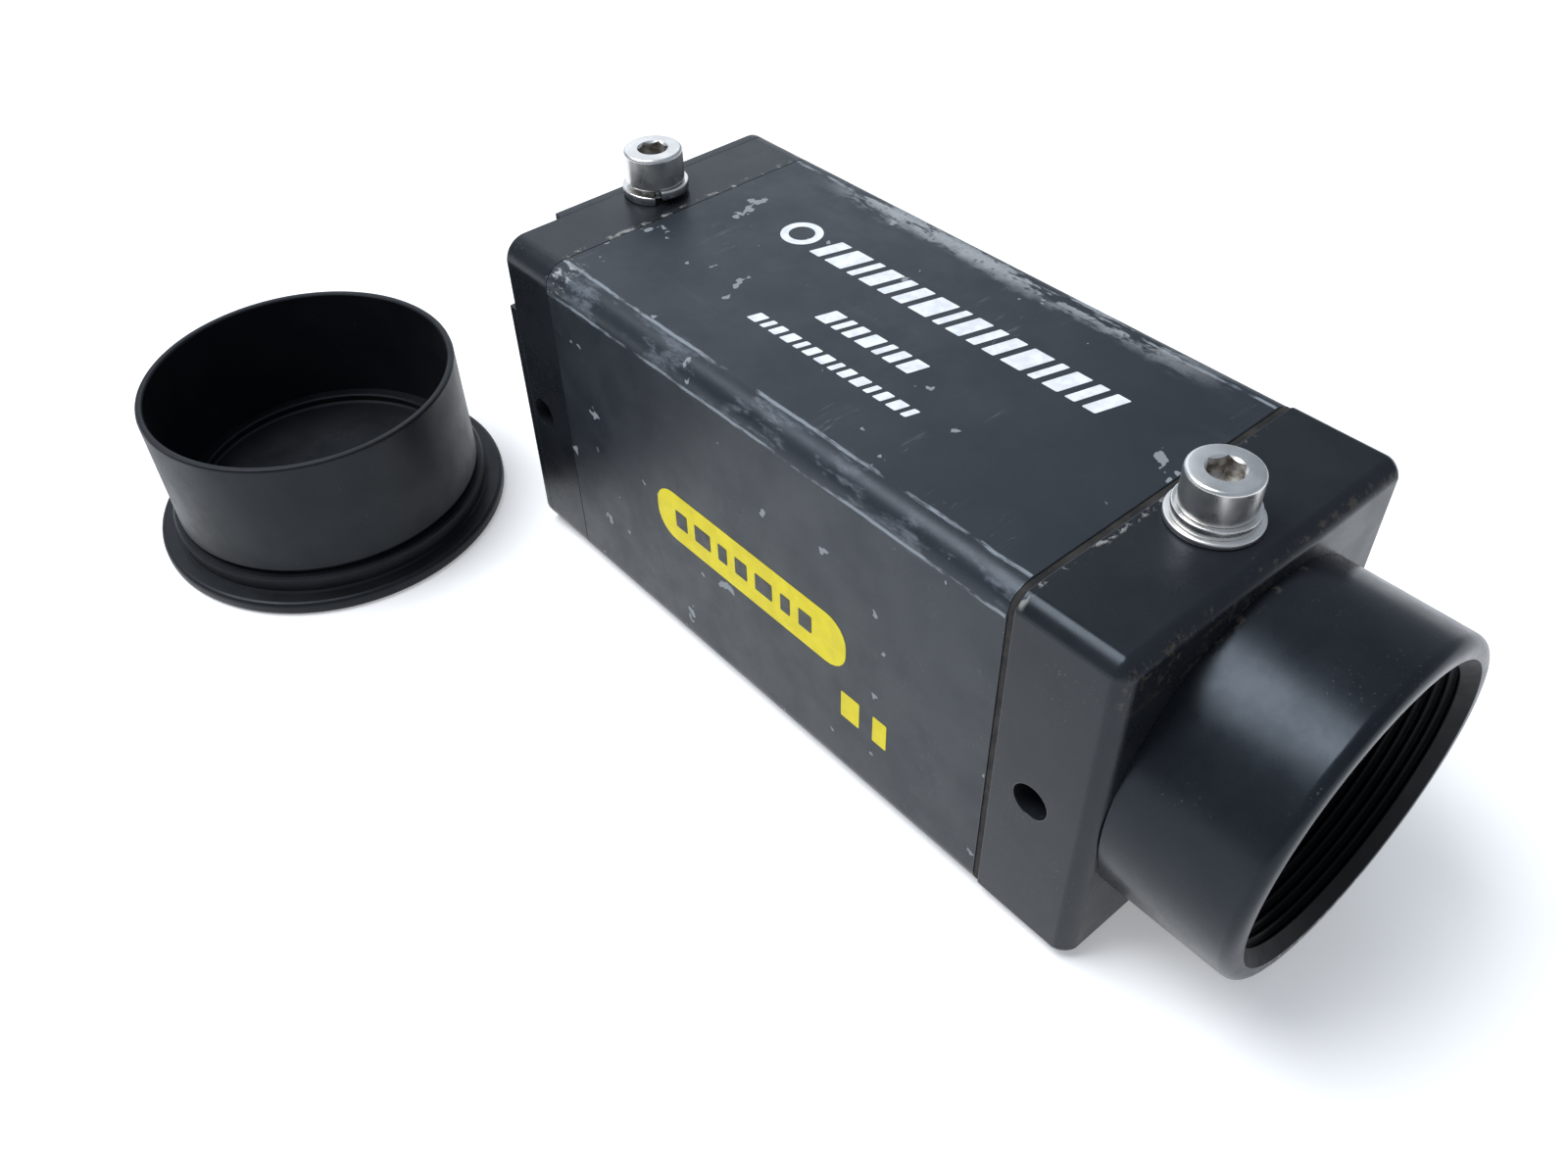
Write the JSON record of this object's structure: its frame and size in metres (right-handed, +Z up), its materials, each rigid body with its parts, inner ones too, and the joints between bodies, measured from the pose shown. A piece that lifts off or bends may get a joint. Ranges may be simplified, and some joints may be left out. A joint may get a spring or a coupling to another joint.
{
  "type": "machine vision camera",
  "caption": "Compact rectangular machine-vision camera with a threaded lens barrel, top mounting screws, rear receptacle and a separate slip-on dust cap.",
  "frame": {"origin": "middle of the flat base that the camera stands on, level with the underside of the end blocks", "axes": "+Y along the optical axis away from the lens side, +Z up through the two mounting screws, +X to the right when looking along +Y from the lens side"},
  "size_m": [0.0654, 0.1198, 0.0379],
  "materials": {
    "anodised_black": "black anodised, fine satin, rubbed paler along edges",
    "sleeve_coating": "blue-black satin coating with bare-metal scuffs along the long edges and printed marks",
    "gasket_rubber": "matt",
    "blackened_steel": "blackened",
    "spacer_steel": "plated, satin",
    "stainless_steel": "bright, fine turning marks",
    "nickel_plate": "nickel plated, satin",
    "gold_contacts": "gold plated",
    "filter_glass": "polished, blue-green tint",
    "cover_glass": "polished",
    "ceramic": "sintered, matt",
    "silicon": "polished",
    "board_laminate": "solder resist, satin",
    "black_moulding": "moulded, matt",
    "ferrite": "sintered, matt",
    "capacitor_can": "bright can",
    "cap_plastic": "moulded, low gloss"
  },
  "bodies": {
    "camera": {"front_block": "anodised_black", "lens_barrel": "anodised_black", "rear_block": "anodised_black", "rear_cover": "anodised_black", "body_sleeve": "sleeve_coating", "front_gasket": "gasket_rubber", "stack_buffers": "gasket_rubber", "connector_seal": "gasket_rubber", "case_screws": "blackened_steel", "board_spacers": "spacer_steel", "filter_glass": "filter_glass", "filter_retainer": "anodised_black", "sensor_package": "ceramic", "sensor_die": "silicon", "sensor_cover_glass": "cover_glass", "sensor_leads": "gold_contacts", "sensor_board": "board_laminate", "processor_board": "board_laminate", "power_board": "board_laminate", "connector_board": "board_laminate", "board_headers": "black_moulding", "processor_chip": "black_moulding", "memory_chips": "black_moulding", "power_inductor": "ferrite", "filter_capacitors": "capacitor_can", "connector_shell": "nickel_plate", "connector_nut": "nickel_plate", "connector_insert": "black_moulding", "connector_pins": "gold_contacts"},
    "front_washers": {"front_flat_washer": "stainless_steel", "front_lock_washer": "stainless_steel"},
    "front_screw": {"front_screw": "stainless_steel"},
    "rear_washer": {"rear_lock_washer": "stainless_steel"},
    "rear_screw": {"rear_screw": "stainless_steel"},
    "dust_cap": {"dust_cap": "cap_plastic"}
  },
  "joints": [
    {"name": "front_screw_travel", "type": "slide", "parent": "camera", "child": "front_washers", "axis": [0, 0, 1], "range_m": [0, 0.0045]},
    {"name": "front_screw_turn", "type": "hinge", "parent": "front_washers", "child": "front_screw", "pos_m": [0, -0.03035, 0.0336], "axis": [0, 0, 1], "range_deg": [0, 3240]},
    {"name": "rear_screw_travel", "type": "slide", "parent": "camera", "child": "rear_washer", "axis": [0, 0, 1], "range_m": [0, 0.0045]},
    {"name": "rear_screw_turn", "type": "hinge", "parent": "rear_washer", "child": "rear_screw", "pos_m": [0, 0.03295, 0.0336], "axis": [0, 0, 1], "range_deg": [0, 3240]},
    {"name": "dust_cap_lift", "type": "slide", "parent": "camera", "child": "dust_cap", "axis": [0, 0, 1], "range_m": [0, 0.04]}
  ],
  "couplings": [
    {"joint": "front_screw_turn", "follows": "front_screw_travel", "rad_per_m": 12566},
    {"joint": "rear_screw_turn", "follows": "rear_screw_travel", "rad_per_m": 12566}
  ]
}
